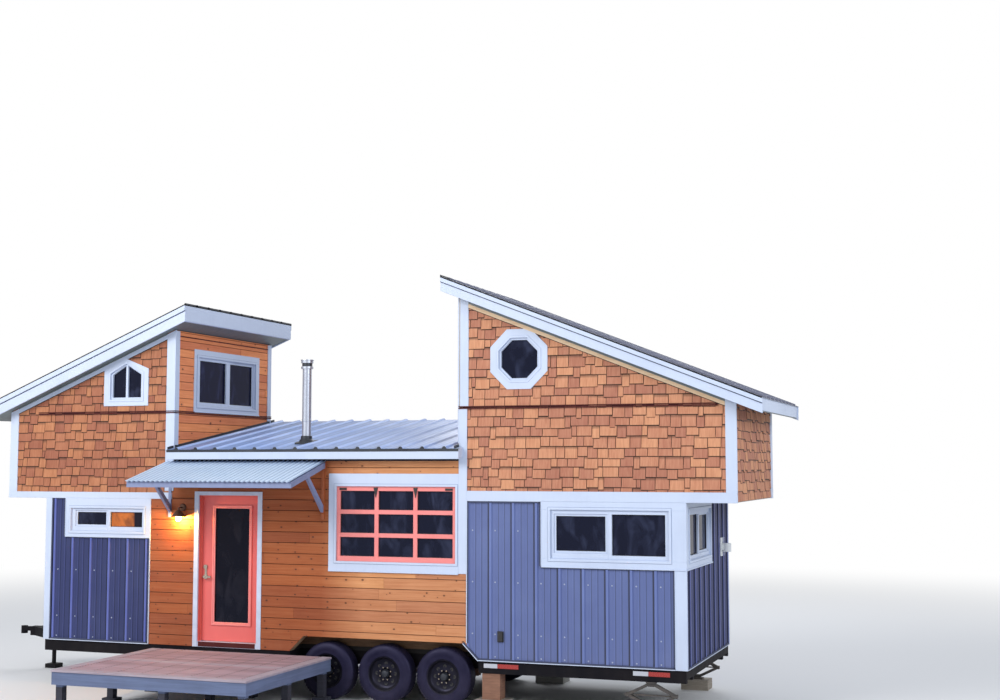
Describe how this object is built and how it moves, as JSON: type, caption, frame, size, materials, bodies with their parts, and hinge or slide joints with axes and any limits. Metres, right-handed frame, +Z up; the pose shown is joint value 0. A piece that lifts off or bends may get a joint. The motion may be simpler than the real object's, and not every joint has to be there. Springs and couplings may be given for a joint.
{
  "type": "tiny house on wheels",
  "caption": "Timber and metal clad small house on a triple axle trailer, with sleeping lofts over both ends, sloping metal roofs, a porch deck and an awning over the door.",
  "frame": {"origin": "centre of the bounding box at ground level", "axes": "+X along the house towards the end with the high window corner, +Y from the entrance side to the back, +Z up"},
  "size_m": [11.34, 4.927, 5.363],
  "materials": {
    "frame_steel": "satin black",
    "axle_steel": "dull black",
    "spring_steel": "rough",
    "tyre": "matte",
    "jack_steel": "dull",
    "pier_block": "rough",
    "floor_wood": "plain",
    "siding_metal": "satin",
    "cedar_board": "oiled",
    "cedar_shingle": "oiled",
    "roof_board": "painted white",
    "roof_sheet": "satin",
    "coral_paint": "painted",
    "white_trim": "painted white",
    "pane": "clear",
    "handle_metal": "satin",
    "awning_timber": "dark stained",
    "zinc_sheet": "galvanised",
    "pipe_steel": "satin",
    "lamp_metal": "bronze",
    "vent_plastic": "white",
    "deck_timber": "painted blue grey",
    "deck_board": "stained"
  },
  "bodies": {
    "house": {"trailer_frame": "frame_steel", "drawbar": "frame_steel", "axle_1": "axle_steel", "axle_2": "axle_steel", "axle_3": "axle_steel", "spring_set_front": "spring_steel", "spring_set_back": "spring_steel", "scissor_jack_front": "jack_steel", "scissor_jack_back": "jack_steel", "pier_front": "pier_block", "pier_back": "pier_block", "floor_pan": "floor_wood", "floor_boxes": "floor_wood", "wall_front_left": "siding_metal", "wall_over_door": "cedar_board", "wall_front_middle": "cedar_board", "wall_front_right": "siding_metal", "wall_back": "siding_metal", "wall_end_left": "siding_metal", "wall_end_right": "siding_metal", "loft_floor_left": "cedar_shingle", "loft_floor_right": "cedar_shingle", "loft_left_front": "cedar_shingle", "loft_left_back": "cedar_shingle", "loft_left_end": "cedar_shingle", "loft_left_inner": "cedar_board", "loft_right_front": "cedar_shingle", "loft_right_back": "cedar_shingle", "loft_right_end": "cedar_shingle", "loft_right_inner": "cedar_board", "roof_left": "roof_board", "roof_middle": "roof_board", "roof_right": "roof_board", "roofing_left": "roof_sheet", "roofing_middle": "roof_sheet", "roofing_right": "roof_sheet", "door_frame": "white_trim", "window_left": "white_trim", "window_middle": "coral_paint", "window_right": "white_trim", "window_end": "white_trim", "window_octagon": "white_trim", "window_pentagon": "white_trim", "window_loft": "white_trim", "awning_frame": "awning_timber", "awning_sheet": "zinc_sheet", "stove_pipe": "pipe_steel", "wall_lamp": "lamp_metal", "wall_vent": "vent_plastic", "deck_frame": "deck_timber", "deck_boards": "deck_board"},
    "door": {"door_leaf": "coral_paint", "door_glass": "pane", "door_handle": "handle_metal"},
    "wheel_front_1": {"wheel_front_1": "tyre"},
    "wheel_front_2": {"wheel_front_2": "tyre"},
    "wheel_front_3": {"wheel_front_3": "tyre"},
    "wheel_back_1": {"wheel_back_1": "tyre"},
    "wheel_back_2": {"wheel_back_2": "tyre"},
    "wheel_back_3": {"wheel_back_3": "tyre"}
  },
  "joints": [
    {"name": "door_swing", "type": "hinge", "parent": "house", "child": "door", "pos_m": [-0.9645, -0.2035, 1.623], "axis": [0, 0, -1], "range_deg": [0, 95]},
    {"name": "wheel_front_1_spin", "type": "hinge", "parent": "house", "child": "wheel_front_1", "pos_m": [0.04, -0.1735, 0.365], "axis": [0, 1, 0], "continuous": true},
    {"name": "wheel_front_2_spin", "type": "hinge", "parent": "house", "child": "wheel_front_2", "pos_m": [0.84, -0.1735, 0.365], "axis": [0, 1, 0], "continuous": true},
    {"name": "wheel_front_3_spin", "type": "hinge", "parent": "house", "child": "wheel_front_3", "pos_m": [1.64, -0.1735, 0.365], "axis": [0, 1, 0], "continuous": true},
    {"name": "wheel_back_1_spin", "type": "hinge", "parent": "house", "child": "wheel_back_1", "pos_m": [0.04, 2.1105, 0.365], "axis": [0, 1, 0], "continuous": true},
    {"name": "wheel_back_2_spin", "type": "hinge", "parent": "house", "child": "wheel_back_2", "pos_m": [0.84, 2.1105, 0.365], "axis": [0, 1, 0], "continuous": true},
    {"name": "wheel_back_3_spin", "type": "hinge", "parent": "house", "child": "wheel_back_3", "pos_m": [1.64, 2.1105, 0.365], "axis": [0, 1, 0], "continuous": true}
  ]
}
